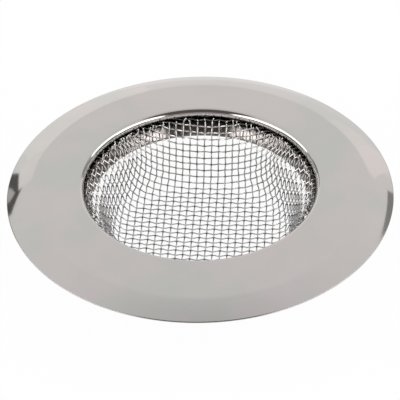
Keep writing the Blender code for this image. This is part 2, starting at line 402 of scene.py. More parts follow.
@dataclass(frozen=True)
class WireSteel(Steel):
    """Drawn wire: painted shade at the crossings, up the wall and in the joint, and a painted highlight in
    the collar.

    Args:
        lighter: colour of the lighter lengths of the wires.
        painted_shade: colour of the painted shade at a crossing and up the wall.
        grained: colour in the grain.
        painted_highlight: colour of the painted highlight on the wires in the collar.
        joint: colour of the painted shade in the joint.
        darker_below: height up to which the wires have no painted highlight.
        bright_above: height from which the painted highlight is full.
        plain_front: place along y in front of which the painted highlight in the collar is faint.
        bright_back: place along y behind which it is at full strength.
        wall_foot: height at which the cup's wall begins.
        wall_full: height from which its wires are as dark as the painted shade makes them.
        wall_shading: how far the colour goes towards the painted shade's there.
    """

    lighter: Colour = (0.62, 0.61, 0.60)
    painted_shade: Colour = (0.15, 0.15, 0.15)
    grained: Colour = (0.22, 0.215, 0.21)
    painted_highlight: Colour = (0.97, 0.95, 0.93)
    joint: Colour = (0.25, 0.235, 0.225)
    darker_below: float = 13.9 * MM
    bright_above: float = 15.6 * MM
    plain_front: float = -14.0 * MM
    bright_back: float = 4.0 * MM
    wall_foot: float = 1.6 * MM
    wall_full: float = 6.0 * MM
    wall_shading: float = 0.28

    def surface(self, graph: Graph) -> tuple[Channel, Channel, Channel]:
        """Lay out the surface.

        Args:
            graph: the material's nodes.

        Returns:
            The colour, the roughness and the height of the relief.
        """
        position = graph.add("TexCoord", {}, {}, "Object")
        place = graph.node("SeparateXYZ", {}, {0: position}).outputs
        height = Channel(graph, place[2])
        behind = graph.spread(Channel(graph, place[1]), self.plain_front, self.bright_back)
        names = ("clear", "outside_joint_shade")
        clear, outside_joint_shade = (graph.add("Attribute", {"attribute_name": name}, {}, "Fac") for name in names)
        grain = graph.noise(position, 2600.0, 2.0, 0.6)
        lengths = graph.noise(position, 210.0, 2.0)
        # Painted highlight: the collar's wires are lit towards near white, more at the back than at the
        # front.
        collar = graph.spread(height, self.darker_below, self.bright_above) * (0.25 + behind * 0.75)
        varied = graph.blend(graph.spread(lengths, 0.35, 0.7) * 0.3, self.colour, self.lighter)
        # Painted shade: the wires darken up the wall.
        wall = graph.spread(height, self.wall_foot, self.wall_full)
        wall_shaded = graph.blend(wall * self.wall_shading, varied, self.painted_shade)
        tone = graph.blend(collar, wall_shaded, self.painted_highlight)
        # Painted shade: the wires darken at the crossings, where the other wire shades them.
        crossing_shade_mask = (1.0 - clear) * (0.85 + wall * 0.15 - collar * 0.45)
        crossing_shaded = graph.blend(crossing_shade_mask.clamp(), tone, self.painted_shade)
        grainy = graph.blend(graph.spread(grain, 0.55, 0.75) * 0.2, crossing_shaded, self.grained)
        # Painted shade: the wires go near black in the joint.
        colour = graph.blend(outside_joint_shade, self.joint, grainy)
        roughness = self.roughness - collar * 0.10 + (grain - 0.5) * 0.12
        return colour, roughness, grain


# Sections and turned sheet


def rounded_path(*corners: Corner) -> list[Pair]:
    """Round the corners of a section by arcs.

    Args:
        corners: radius, height, fillet and arc steps of each corner. Where a side is too short for the
            fillets at its two ends, they share it in proportion.

    Returns:
        The points of the rounded section.
    """
    points = [corners[0][:2]]
    for before, corner, after in zip(corners, corners[1:], corners[2:]):
        to_before = Vector((before[0] - corner[0], before[1] - corner[1]))
        to_after = Vector((after[0] - corner[0], after[1] - corner[1]))
        turn = math.atan2(to_before.cross(to_after), to_before.dot(to_after))
        slope = abs(math.tan(turn / 2))
        tangent = corner[2] / slope
        for neighbour, reach in ((before, to_before.length), (after, to_after.length)):
            tangent = min(tangent, FILLET_SHARE * reach * corner[2] / (corner[2] + neighbour[2]))
        fillet = tangent * slope
        start = Vector(corner[:2]) + to_before.normalized() * tangent
        side = math.copysign(1.0, turn)
        across = to_before.normalized()
        centre = start + Vector((-across.y, across.x)) * (side * fillet)
        swing = math.copysign(math.pi - abs(turn), -turn)
        first = math.atan2(start.y - centre.y, start.x - centre.x)
        for step in range(corner[3] + 1):
            angle = first + swing * step / corner[3]
            points.append((centre.x + fillet * math.cos(angle), centre.y + fillet * math.sin(angle)))
    points.append(corners[-1][:2])
    return points


@dataclass
class TurnedSheet:
    """A piece of sheet metal turned about the axis.

    Args:
        name: the piece's name.
        node: the solid of the frame that it stands for.
        slot: the record's material slot.
        finish: its finish.
        middle: its section, along the middle of the sheet.
        thickness: the sheet's thickness.
        steps: facets round the axis.
        end_steps: facets round each cut end.
        end_margin: how far from a cut end the flat sheet has a second point, as a share of half the
            thickness.
    """

    name: str
    node: str
    slot: Slot
    finish: Steel
    middle: list[Pair]
    thickness: float
    steps: int = 360
    end_steps: int = 6
    end_margin: float = 0.1

    def outline(self) -> list[Pair]:
        """Draw the closed outline round the sheet's two faces, with rounded ends.

        Returns:
            Its points.
        """
        half = self.thickness / 2
        points = self._shortened(half)
        count = len(points)
        faces: list[list[Vector]] = [[], []]
        for k, point in enumerate(points):
            ends = ((max(k - 1, 0), k), (k, min(k + 1, count - 1)))
            runs = [(points[b] - points[a]).normalized() for a, b in ends if a != b]
            normals = [Vector((-run.y, run.x)) for run in runs]
            normal = sum(normals, Vector((0.0, 0.0))).normalized()
            reach = half / normal.dot(normals[0])
            faces[0].append(point + normal * reach)
            faces[1].append(point - normal * reach)
        far = self._round_end(points[-1], faces[0][-1])
        near = self._round_end(points[0], faces[1][0])
        loop = faces[0] + far + faces[1][::-1] + near
        return [(point.x, point.y) for point in loop]

    def _shortened(self, amount: float) -> list[Vector]:
        """Draw in both ends of the section, so that the rounded ends reach where it ended.

        A second point close to each end keeps the shading of the flat sheet apart from the rounded end's.

        Args:
            amount: how far each end is drawn in.

        Returns:
            The points of the shorter section.
        """
        points = [Vector(point) for point in self.middle]
        for _ in range(2):
            left = amount
            while (points[1] - points[0]).length <= left:
                left -= (points[1] - points[0]).length
                points.pop(0)
            run = (points[1] - points[0]).normalized()
            points[0] = points[0] + run * left
            margin = min(self.end_margin * amount, 0.5 * (points[1] - points[0]).length)
            points.insert(1, points[0] + run * margin)
            points.reverse()
        return points

    def _round_end(self, centre: Vector, start: Vector) -> list[Vector]:
        """Round a cut end, clockwise.

        Args:
            centre: the middle of the sheet at that end.
            start: the end of the face from which the half circle starts.

        Returns:
            The points of the half circle, without its two ends.
        """
        arm = start - centre
        first = math.atan2(arm.y, arm.x)
        angles = [first - math.pi * step / self.end_steps for step in range(1, self.end_steps)]
        return [centre + Vector((math.cos(a), math.sin(a))) * arm.length for a in angles]

    def build(self) -> None:
        """Build the piece and put it on the frame."""
        outline = self.outline()
        count = len(outline)
        verts = []
        for step in range(self.steps):
            angle = math.tau * step / self.steps
            verts += [(r * math.cos(angle), r * math.sin(angle), z) for r, z in outline]
        quads = []
        for step in range(self.steps):
            here = step * count
            there = (step + 1) % self.steps * count
            for k in range(count):
                after = (k + 1) % count
                quads.append((here + k, here + after, there + after, there + k))
        obj = new_piece(self.name, verts, quads, self.slot, self.finish)
        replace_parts(obj, self.node)


def new_object(
    name: str,
    verts: Sequence[Sequence[float]],
    faces: Sequence[tuple[int, ...]],
    material: bpy.types.Material,
) -> bpy.types.Object:
    """Make a mesh with one material and put it in the scene.

    Args:
        name: its name.
        verts: its points.
        faces: its faces.
        material: its material.

    Returns:
        The new object.
    """
    mesh = bpy.data.meshes.new(name)
    mesh.from_pydata(verts, [], faces)
    mesh.materials.append(material)
    obj = bpy.data.objects.new(name, mesh)
    bpy.context.scene.collection.objects.link(obj)
    return obj


def new_piece(
    name: str,
    verts: Sequence[Sequence[float]],
    faces: Sequence[tuple[int, ...]],
    slot: Slot,
    finish: Steel,
) -> bpy.types.Object:
    """Make a smooth-shaded piece with its finish, riding on the frame's body.

    Args:
        name: the piece's name.
        verts: its points.
        faces: its faces.
        slot: the record's material slot; not used.
        finish: its finish.

    Returns:
        The new object.
    """
    obj = new_object(name, verts, faces, finish.material())
    obj.data.shade_smooth()
    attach(obj, BODY)
    LOG.info("%s: %d points, %d faces", name, len(verts), len(faces))
    return obj


# Sizes shared by the pieces, as the frame has them


@dataclass(frozen=True)
class Seat:
    """Where the pieces meet.

    Args:
        crown: height of the lip's crown.
        opening: radius of the opening.
        sheet: thickness of the brim.
        neck_depth: depth of the neck below the crown.
        neck_flange: how far the neck is turned out.
        gap: gap between pieces that really touch.
        half_cloth: half the thickness that the cloth's wall takes.
        mouth_inset: how far the cloth's mouth lies inside the opening.
        hem_turn: fillet where the cloth turns out into its hem.
    """

    crown: float = 22.655 * MM
    opening: float = 34.4 * MM
    sheet: float = 0.45 * MM
    neck_depth: float = 2.5 * MM
    neck_flange: float = 3.7 * MM
    gap: float = 0.3 * MM
    half_cloth: float = 0.5 * MM
    mouth_inset: float = 1.2 * MM
    hem_turn: float = 0.8 * MM

    @property
    def flange_radius(self) -> float:
        """Outer radius of the neck's turned-out flange."""
        return self.opening + self.sheet + self.neck_flange

    @property
    def flange_height(self) -> float:
        """Height of the middle of that flange."""
        return self.crown - self.neck_depth + self.sheet / 2

    @property
    def hem_height(self) -> float:
        """Height of the middle of the cloth's hem."""
        return self.crown - self.neck_depth - self.gap - self.half_cloth

    @property
    def mouth_radius(self) -> float:
        """Radius of the cloth at its mouth."""
        return self.opening - self.mouth_inset


@dataclass
class Brim:
    """The stamped brim: the neck, the rolled lip, the cone, the soft ridge and the bowed rim.

    Args:
        seat: where the pieces meet.
        radius: outer radius.
        lip_roll: fillet of the lip.
        slope: fall of the cone from the lip to the ridge.
        ridge_radius: radius at which the rim begins.
        ridge_softness: fillet of the ridge.
        rim_bow: how far the rim bulges above the straight line from the ridge to the edge.
        rim_softness: fillet in the middle of the rim.
        edge_drop: depth of the edge below the crown.
        neck_bend: fillet where the neck turns out into its flange.
        finish: its finish.
    """

    seat: Seat
    radius: float = 57.15 * MM
    lip_roll: float = 1.5 * MM
    slope: float = 0.117
    ridge_radius: float = 49.62 * MM
    ridge_softness: float = 10.0 * MM
    rim_bow: float = 0.25 * MM
    rim_softness: float = 50.0 * MM
    edge_drop: float = 4.1 * MM
    neck_bend: float = 0.58 * MM
    finish: PolishedSteel = PolishedSteel("polished_steel", (0.63, 0.60, 0.58), 0.06)

    def section(self) -> list[Pair]:
        """Draw the section along the middle of the sheet.

        Returns:
            Its points, from the neck's flange out to the edge.
        """
        seat = self.seat
        neck = seat.opening + seat.sheet / 2
        lip = seat.crown - seat.sheet / 2 + self.lip_roll * self.slope
        ridge = lip - (self.ridge_radius - neck) * self.slope
        edge = seat.crown - self.edge_drop - seat.sheet / 2
        rim_middle = (self.ridge_radius + self.radius) / 2
        return rounded_path(
            (seat.flange_radius, seat.flange_height, 0.0, 1),
            (neck, seat.flange_height, self.neck_bend, 8),
            (neck, lip, self.lip_roll, 16),
            (self.ridge_radius, ridge, self.ridge_softness, 8),
            (rim_middle, (ridge + edge) / 2 + self.rim_bow, self.rim_softness, 12),
            (self.radius, edge, 0.0, 1),
        )

    def build(self) -> None:
        """Build the brim."""
        section = self.section()
        TurnedSheet("brim_sheet", "brim", Slot.POLISHED, self.finish, section, self.seat.sheet).build()


@dataclass
class ClampBand:
    """The band that is closed round the neck's flange and the hem, and hangs down inside to a curled foot.

    Args:
        seat: where the pieces meet.
        sheet: thickness of the band.
        top_offset: how far the top of the hanging wall lies outside the foot of the hem's turn.
        taper: how far the wall comes in towards its foot.
        depth: depth of the foot below the crown.
        curl: radius of the curled foot.
        clinch_reach: how far the channel's upper side reaches in over the flange.
        channel_bend: fillet of the channel.
        bend: fillet where the channel turns down into the wall.
        curl_steps: facets round the curl.
        curl_turn: how far round the foot curls.
        finish: its finish.
    """

    seat: Seat
    sheet: float = 0.40 * MM
    top_offset: float = 2.0 * MM
    taper: float = 2.0 * MM
    depth: float = 7.8 * MM
    curl: float = 0.45 * MM
    clinch_reach: float = 2.2 * MM
    channel_bend: float = 0.35 * MM
    bend: float = 0.70 * MM
    curl_steps: int = 14
    curl_turn: float = math.radians(200)
    finish: DrawnSteel = DrawnSteel("band_steel", (0.34, 0.32, 0.315), 0.12)

    def section(self) -> list[Pair]:
        """Draw the section along the middle of the sheet.

        Returns:
            Its points, from the channel to the end of the curl.
        """
        seat = self.seat
        half = self.sheet / 2
        channel = seat.flange_radius + seat.gap + half
        clinch = seat.flange_height + seat.sheet / 2 + seat.gap + half
        shelf = seat.hem_height - seat.half_cloth - seat.gap - half
        top = seat.mouth_radius - seat.hem_turn + self.top_offset
        foot = top - self.taper
        foot_height = seat.crown - self.depth + self.curl
        path = rounded_path(
            (channel - self.clinch_reach, clinch, 0.0, 1),
            (channel, clinch, self.channel_bend, 6),
            (channel, shelf, self.channel_bend, 6),
            (top, shelf, self.bend, 8),
            (foot, foot_height, 0.0, 1),
        )
        lean = math.atan2(top - foot, shelf - foot_height)
        centre = (foot + self.curl * math.cos(lean), foot_height - self.curl * math.sin(lean))
        for step in range(1, self.curl_steps + 1):
            angle = math.pi - lean + self.curl_turn * step / self.curl_steps
            path.append((centre[0] + self.curl * math.cos(angle), centre[1] + self.curl * math.sin(angle)))
        return path

    def build(self) -> None:
        """Build the band."""
        section = self.section()
        TurnedSheet("band_sheet", "clamp_band", Slot.BAND, self.finish, section, self.sheet).build()


# Wire cloth


class CupSurface:
    """The middle surface of the cloth, measured along its section from the axis.

    A place on the cup is a flat pair (x, y): its distance from (0, 0) is the length along the section, and
    its direction is the direction round the axis.
    """

    def __init__(self, section: list[Pair]) -> None:
        """Keep the section and the length along it at each of its points.

        Args:
            section: its points, from the axis outwards.
        """
        self.section = section
        self.lengths = [0.0]
        for (r0, z0), (r1, z1) in zip(section, section[1:]):
            self.lengths.append(self.lengths[-1] + math.hypot(r1 - r0, z1 - z0))

    def point(self, place: Pair, lift: float = 0.0) -> Vector:
        """Return a point in space.

        Args:
            place: the place on the cup.
            lift: how far it is lifted off the middle surface, to the inner side.

        Returns:
            The point.
        """
        length = math.hypot(*place)
        i = min(bisect.bisect_left(self.lengths, length, lo=1), len(self.lengths) - 1) - 1
        (r0, z0), (r1, z1) = self.section[i], self.section[i + 1]
        span = self.lengths[i + 1] - self.lengths[i]
        share = (length - self.lengths[i]) / span
        radius = r0 + (r1 - r0) * share - (z1 - z0) / span * lift
        height = z0 + (z1 - z0) * share + (r1 - r0) / span * lift
        if length < ON_AXIS:
            return Vector((0.0, 0.0, height))
        return Vector((radius * place[0] / length, radius * place[1] / length, height))


@dataclass(frozen=True)
class Sample:
    """A point on the middle line of a wire.

    Args:
        centre: where it is.
        normal: the cloth's normal there, to the inner side.
        radius: the wire's radius.
        clear: 0 in the painted shade at a crossing, 1 away from it.
        outside_joint_shade: 1 outside the joint, 0 where the joint's painted shade darkens the wire.
    """

    centre: Vector
    normal: Vector
    radius: float
    clear: float
    outside_joint_shade: float


@dataclass
class Bundle:
    """Tubes gathered into one mesh.

    Args:
        sides: facets round a tube.
        verts: the mesh's points.
        faces: the mesh's faces.
        clear: each point's value from its sample.
        outside_joint_shade: each point's value from its sample.
    """

    sides: int
    verts: list[Vector] = field(default_factory=list)
    faces: list[tuple[int, ...]] = field(default_factory=list)
    clear: list[float] = field(default_factory=list)
    outside_joint_shade: list[float] = field(default_factory=list)

    def add_tube(self, samples: list[Sample]) -> None:
        """Add a tube, closed at both ends.

        Args:
            samples: its middle line.
        """
        first = len(self.verts)
        last = len(samples) - 1
        for k, sample in enumerate(samples):
            tangent = (samples[min(k + 1, last)].centre - samples[max(k - 1, 0)].centre).normalized()
            across = tangent.cross(sample.normal).normalized()
            up = across.cross(tangent)
            for side in range(self.sides):
                angle = math.tau * side / self.sides
                arm = up * math.cos(angle) + across * math.sin(angle)
                self.verts.append(sample.centre + arm * sample.radius)
            self.clear += [sample.clear] * self.sides
            self.outside_joint_shade += [sample.outside_joint_shade] * self.sides
        for k in range(last):
            here = first + k * self.sides
            there = here + self.sides
            for side in range(self.sides):
                after = (side + 1) % self.sides
                self.faces.append((here + side, here + after, there + after, there + side))
        self.faces.append(tuple(first + side for side in reversed(range(self.sides))))
        self.faces.append(tuple(first + last * self.sides + side for side in range(self.sides)))

    def build(self, name: str, turn: float, slot: Slot, finish: Steel) -> bpy.types.Object:
        """Make the mesh.

        Args:
            name: the piece's name.
            turn: angle by which it is turned about the axis.
            slot: the record's material slot.
            finish: its finish.

        Returns:
            The new piece.
        """
        turned = Matrix.Rotation(turn, 3, "Z")
        obj = new_piece(name, [tuple(turned @ vert) for vert in self.verts], self.faces, slot, finish)
        for key, values in (("clear", self.clear), ("outside_joint_shade", self.outside_joint_shade)):
            obj.data.attributes.new(key, "FLOAT", "POINT").data.foreach_set("value", values)
        return obj


@dataclass
class WireCloth:
    """Plain-weave wire cloth draped in a cup.

    Args:
        seat: where the pieces meet.
        wire: diameter of the wire.
        warp_pitch: distance between warp wires.
        weft_pitch: distance between weft wires.
        turn: how the cloth is turned in the cup.
        shift: place of the crossing nearest to the axis.
        wall_step: how far the wall's top lies inside the mouth.
        wall_taper: how far the wall comes in towards the floor.
        wall_top_drop: depth of the wall's top below the crown.
        floor_rise: how far the floor rises from its flat spot to its edge.
        flat_spot: radius of the floor's flat middle, and the fillet round it.
        floor_corner: fillet between floor and wall.
        shoulder: fillet at the wall's top.
        hem_back: how far the hem ends inside the neck's flange.
        ragged: how far back the wires are cut at random.
        collar_start: length along the section at which the crowded collar begins.
        collar_ramp: length over which the crossings' wander grows there.
        spot_ramp: length over which the painted shade spots at the crossings change there.
        spot_sharpness: how sharply a painted shade spot ends on the floor and the wall.
        wander: how far the crossings lie off their places.
        collar_wander: the same in the collar.
        seed: seed of that wander.
        joint_fade: length over which the painted shade darkens the hem's wires as they enter the joint.
        barb_back: how far before the joint a cut end begins.
        barb_length: longest cut end.
        barb_shortest: the shortest as a share of it.
        barb_share: share of the wires whose cut end stands proud.
        barb_front: how far in front of the axis they still do; further forward the hem lies flat.
        barb_reach: how far a cut end goes along its wire, sideways and up, for each unit of its length.
        barb_swing: how far sideways it may lean, either way.
        barb_steps: facets along it.
        barb_tip: thickness of its tip as a share of the wire's.
        sides: facets round a wire.
        steps: points along a wire from one crossing to the next.
        warp_finish: finish of the warp, set darker than the weft's as painted shade.
        weft_finish: finish of the weft.
        cup: the middle surface of the cloth.
        net: the places of the crossings, by the numbers of their warp and weft wires.
    """

    seat: Seat
    wire: float = 0.41 * MM
    warp_pitch: float = 2.196 * MM
    weft_pitch: float = 2.017 * MM
    turn: float = math.radians(-4.2)
    shift: Pair = (-0.67 * MM, 0.57 * MM)
    wall_step: float = 3.35 * MM
    wall_taper: float = 4.1 * MM
    wall_top_drop: float = 7.9 * MM
    floor_rise: float = 0.87 * MM
    flat_spot: float = 8.0 * MM
    floor_corner: float = 5.6 * MM
    shoulder: float = 5.8 * MM
    hem_back: float = 1.0 * MM
    ragged: float = 0.6 * MM
    collar_start: float = 37.5 * MM
    collar_ramp: float = 5.0 * MM
    spot_ramp: float = 2.0 * MM
    spot_sharpness: int = 6
    wander: float = 0.035 * MM
    collar_wander: float = 0.10 * MM
    seed: int = 11
    joint_fade: float = 0.25 * MM
    barb_back: float = 0.20 * MM
    barb_length: float = 1.50 * MM
    barb_shortest: float = 0.6
    barb_share: float = 0.95
    barb_front: float = 13.0 * MM
    barb_reach: tuple[float, float, float] = (0.18, 0.8, 1.5)
    barb_swing: float = 0.9
    barb_steps: int = 5
    barb_tip: float = 0.7
    sides: int = 8
    steps: int = 6
    # The same steel in two colours: the warp is painted darker than the weft as painted shade.
    warp_finish: WireSteel = WireSteel("warp_wire", (0.60, 0.59, 0.59), 0.36)
    weft_finish: WireSteel = WireSteel("weft_wire", (0.66, 0.65, 0.65), 0.36)
    cup: CupSurface = field(init=False)
    net: Net = field(init=False)

    def __post_init__(self) -> None:
        """Lay out the cup and drape the net of crossings over it."""
        self.cup = CupSurface(self.section())
        self.net = self.disturbed(self.drape())

    @property
    def hem_end(self) -> float:
        """Length along the section at the edge of the hem."""
        return self.cup.lengths[-1]

    @property
    def joint_start(self) -> float:
        """Length along the section at the end of the hem's turn, where the joint begins."""
        return self.cup.lengths[-2]

    def section(self) -> list[Pair]:
        """Draw the section of the cup.

        Returns:
            Its points, from the middle of the floor to the edge of the hem.
        """
        seat = self.seat
        wall_top = seat.mouth_radius - self.wall_step
        floor_edge = wall_top - self.wall_taper
        floor = seat.half_cloth
        return rounded_path(
            (0.0, floor, 0.0, 1),
            (self.flat_spot, floor, self.flat_spot, 8),
            (floor_edge, floor + self.floor_rise, self.floor_corner, 24),
            (wall_top, seat.crown - self.wall_top_drop, self.shoulder, 12),
            (seat.mouth_radius, seat.hem_height, seat.hem_turn, 12),
            (seat.flange_radius - self.hem_back, seat.hem_height, 0.0, 1),
        )

    def drape(self) -> Net:
        """Place the crossings: wires keep their pitch, and the square cells shear into diamonds.

        Returns:
            The net of crossings.
        """
        reach = self.hem_end + self.warp_pitch
        count_u = math.ceil(DRAPE_MARGIN * reach / self.warp_pitch) + 2
        count_v = math.ceil(DRAPE_MARGIN * reach / self.weft_pitch) + 2
        net: Net = {(0, 0): self.shift}
        signs = (1, -1)
        for sign, i in product(signs, range(1, count_u)):
            net[sign * i, 0] = self.next_along(net[sign * (i - 1), 0], (sign, 0.0), self.warp_pitch)
        for sign, j in product(signs, range(1, count_v)):
            net[0, sign * j] = self.next_along(net[0, sign * (j - 1)], (0.0, sign), self.weft_pitch)
        for su, sv, i, j in product(signs, signs, range(1, count_u), range(1, count_v)):
            beside = net.get((su * (i - 1), sv * j))
            below = net.get((su * i, sv * (j - 1)))
            diagonal = net.get((su * (i - 1), sv * (j - 1)))
            if beside is None or below is None or diagonal is None:
                continue
            if min(math.hypot(*beside), math.hypot(*below)) <= reach:
                net[su * i, sv * j] = self.fourth_corner(beside, below, diagonal)
        return net

    def next_along(self, place: Pair, direction: Pair, pitch: float) -> Pair:
        """Find the next crossing on one of the two straight first wires.

        Args:
            place: the crossing before it.
            direction: the way along the wire.
            pitch: the straight distance between the two.

        Returns:
            The crossing's place.
        """
        start = self.cup.point(place)
        low, high = 0.5 * pitch, 2.0 * pitch
        for _ in range(HALVINGS):
            middle = (low + high) / 2
            ahead = (place[0] + direction[0] * middle, place[1] + direction[1] * middle)
            if (self.cup.point(ahead) - start).length < pitch:
                low = middle
            else:
                high = middle
        return (place[0] + direction[0] * low, place[1] + direction[1] * low)

    def fourth_corner(self, beside: Pair, below: Pair, diagonal: Pair) -> Pair:
        """Place a crossing by Newton's method.

        Args:
            beside: the crossing one warp pitch away.
            below: the crossing one weft pitch away.
            diagonal: the crossing between those two on the near side.

        Returns:
            The new crossing's place.
        """
        a = self.cup.point(beside)
        b = self.cup.point(below)

        def misfit(x: float, y: float) -> Pair:
            """Return how far both distances are off."""
            p = self.cup.point((x, y))
            return (p - a).length - self.warp_pitch, (p - b).length - self.weft_pitch

        x = beside[0] + below[0] - diagonal[0]
        y = beside[1] + below[1] - diagonal[1]
        step = self.warp_pitch / 1000
        for _ in range(NEWTON_STEPS):
            fa, fb = misfit(x, y)
            if max(abs(fa), abs(fb)) < CLOSE_ENOUGH:
                break
            fax, fbx = misfit(x + step, y)
            fay, fby = misfit(x, y + step)
            axx, bxx = (fax - fa) / step, (fbx - fb) / step
            ayy, byy = (fay - fa) / step, (fby - fb) / step
            det = axx * byy - ayy * bxx
            x -= (fa * byy - fb * ayy) / det
            y -= (fb * axx - fa * bxx) / det
        return (x, y)

    def disturbed(self, net: Net) -> Net:
        """Push the crossings about a little, and more so in the crowded collar.

        Args:
            net: the crossings as draped.

        Returns:
            The crossings as they lie.
        """
        rng = random.Random(self.seed)
        pushed: Net = {}
        for key in sorted(net):
            place = net[key]
            length = math.hypot(*place)
            share = min(1.0, max(0.0, (length - self.collar_start) / self.collar_ramp))
            size = self.wander + (self.collar_wander - self.wander) * share
            pushed[key] = (place[0] + rng.gauss(0.0, size), place[1] + rng.gauss(0.0, size))
        return pushed

    def line(self, direction: Direction, number: int) -> Iterator[tuple[Pair, float]]:
        """Follow one wire.

        Args:
            direction: warp or weft.
            number: the wire's number.

        Yields:
            Places along it, each with its lift as a share of the crimp: 1 passes over, -1 under.
        """
        warp = direction is Direction.WARP
        along = sorted(key[1] if warp else key[0] for key in self.net if key[0 if warp else 1] == number)
        places = [self.net[(number, k) if warp else (k, number)] for k in along]
        side = -1.0 if warp else 1.0
        for k in range(len(places) - 1):
            before = places[max(k - 1, 0)]
            start, end = places[k], places[k + 1]
            after = places[min(k + 2, len(places) - 1)]
            for step in range(self.steps):
                t = step / self.steps
                place = tuple(
                    self.curve(before[axis], start[axis], end[axis], after[axis], t) for axis in (0, 1)
                )
                yield place, side * math.cos(math.pi * (along[k] + number + t))

    @staticmethod
    def curve(before: float, start: float, end: float, after: float, t: float) -> float:
        """Return a Catmull-Rom value between start and end."""
        return 0.5 * (
            2 * start
            + (end - before) * t
            + (2 * before - 5 * start + 4 * end - after) * t * t
            + (3 * start - before - 3 * end + after) * t * t * t
        )

    def runs(self, direction: Direction, number: int, rng: random.Random) -> Iterator[Run]:
        """Cut one wire where it leaves the cloth.

        Args:
            direction: warp or weft.
            number: the wire's number.
            rng: gives the ragged ends.

        Yields:
            The stretches of it that lie in the cloth.
        """
        run: Run = []
        limit = self.hem_end - rng.uniform(0.0, self.ragged)
        for sample in self.line(direction, number):
            if math.hypot(*sample[0]) <= limit:
                run.append(sample)
            elif run:
                yield run
                run = []
                limit = self.hem_end - rng.uniform(0.0, self.ragged)
        if run:
            yield run

    def samples(self, run: Run, direction: Direction) -> list[Sample]:
        """Return the middle line of one stretch of wire.

        Args:
            run: its places and lifts.
            direction: warp or weft. Below the collar only the crossings where the weft passes over have
                painted shade spots; in the collar all of them do.

        Returns:
            Its samples.
        """
        made = []
        over = -1.0 if direction is Direction.WARP else 1.0
        for place, lift in run:
            normal = (self.cup.point(place, MM) - self.cup.point(place)).normalized()
            centre = self.cup.point(place, lift * self.wire / 2)
            length = math.hypot(*place)
            # Painted shade: the hem's wires go dark as they enter the joint.
            outside_joint_shade = 1.0 - min(1.0, max(0.0, (length - self.joint_start) / self.joint_fade))
            in_collar = min(1.0, max(0.0, (length - self.collar_start) / self.spot_ramp))
            # Painted shade spots at the crossings, passed to the material as the clear attribute.
            sharp = max(0.0, lift * over) ** self.spot_sharpness
            shade_spot = sharp * (1.0 - in_collar) + lift * lift * in_collar
            made.append(Sample(centre, normal, self.wire / 2, 1.0 - shade_spot, outside_joint_shade))
        return made

    def barb(self, run: Run, samples: list[Sample], rng: random.Random) -> list[Sample]:
        """Follow the cut end that stands proud where a wire reaches the joint.

        Args:
            run: the wire's places, from the hem inwards.
            samples: its samples, in the same order.
            rng: gives its length and bend.

        Returns:
            The cut end's samples, or none where the wire has no such end.
        """
        start = self.joint_start - self.barb_back
        inside = next((k for k, (place, _) in enumerate(run) if math.hypot(*place) < start), 0)
        if inside == 0 or inside + 1 >= len(run) or rng.random() > self.barb_share:
            return []
        base = samples[inside]
        if base.centre.y < -self.barb_front:
            return []
        ahead = (samples[inside - 1].centre - samples[inside + 1].centre).normalized()
        lean = ahead.cross(base.normal).normalized() * rng.uniform(-self.barb_swing, self.barb_swing)
        length = self.barb_length * rng.uniform(self.barb_shortest, 1.0)
        along, sideways, up = self.barb_reach
        made = []
        for step in range(self.barb_steps + 1):
            t = step / self.barb_steps
            bent = ahead * (along * t) + lean * (sideways * t * t) + base.normal * (up * t)
            radius = base.radius * (1.0 if step < self.barb_steps else self.barb_tip)
            centre = base.centre + bent * length
            made.append(Sample(centre, base.normal, radius, clear=0.9, outside_joint_shade=1.0))
        return made

    def build(self, direction: Direction) -> bpy.types.Object:
        """Build all wires of one direction as one piece.

        Args:
            direction: warp or weft.

        Returns:
            The piece.
        """
        rng = random.Random(direction.value)
        bundle = Bundle(self.sides)
        axis = 0 if direction is Direction.WARP else 1
        for number in sorted({key[axis] for key in self.net}):
            for run in self.runs(direction, number, rng):
                if len(run) <= self.steps:
                    continue
                samples = self.samples(run, direction)
                bundle.add_tube(samples)
                for places, line in ((run, samples), (run[::-1], samples[::-1])):
                    barb = self.barb(places, line, rng)
                    if barb:
                        bundle.add_tube(barb)
        finish = self.warp_finish if direction is Direction.WARP else self.weft_finish
        return bundle.build(direction.value, self.turn, Slot.WIRE, finish)


# Studio


def way(azimuth: float, elevation: float) -> Vector:
    """Return a direction.

    Args:
        azimuth: degrees from straight behind the object towards the right.
        elevation: degrees above the horizon.

    Returns:
        The unit vector.
    """
    level = math.cos(math.radians(elevation))
    turn = math.radians(azimuth)
    return Vector((level * math.sin(turn), level * math.cos(turn), math.sin(math.radians(elevation))))


@dataclass(frozen=True)
class Card:
    """A grey card, white sheet or strip light that shows only in the metal.

    Args:
        name: its name.
        azimuth: its direction in degrees, from straight behind the object towards the right.
        elevation: its height above the horizon in degrees.
        distance: how far away it stands.
        span: the angles that it takes up, across and up.
        tone: how bright it is.
        lean: degrees by which its top leans to the right, seen from the object.
    """

    name: str
    azimuth: float
    elevation: float
    distance: float
    span: Pair
    tone: Colour
    lean: float = 0.0

    @property
    def centre(self) -> Vector:
        """Middle of the card."""
        return way(self.azimuth, self.elevation) * self.distance

    @property
    def half_size(self) -> Pair:
        """Half its width and half its height."""
        across, up = (self.distance * math.tan(math.radians(angle / 2)) for angle in self.span)
        return across, up


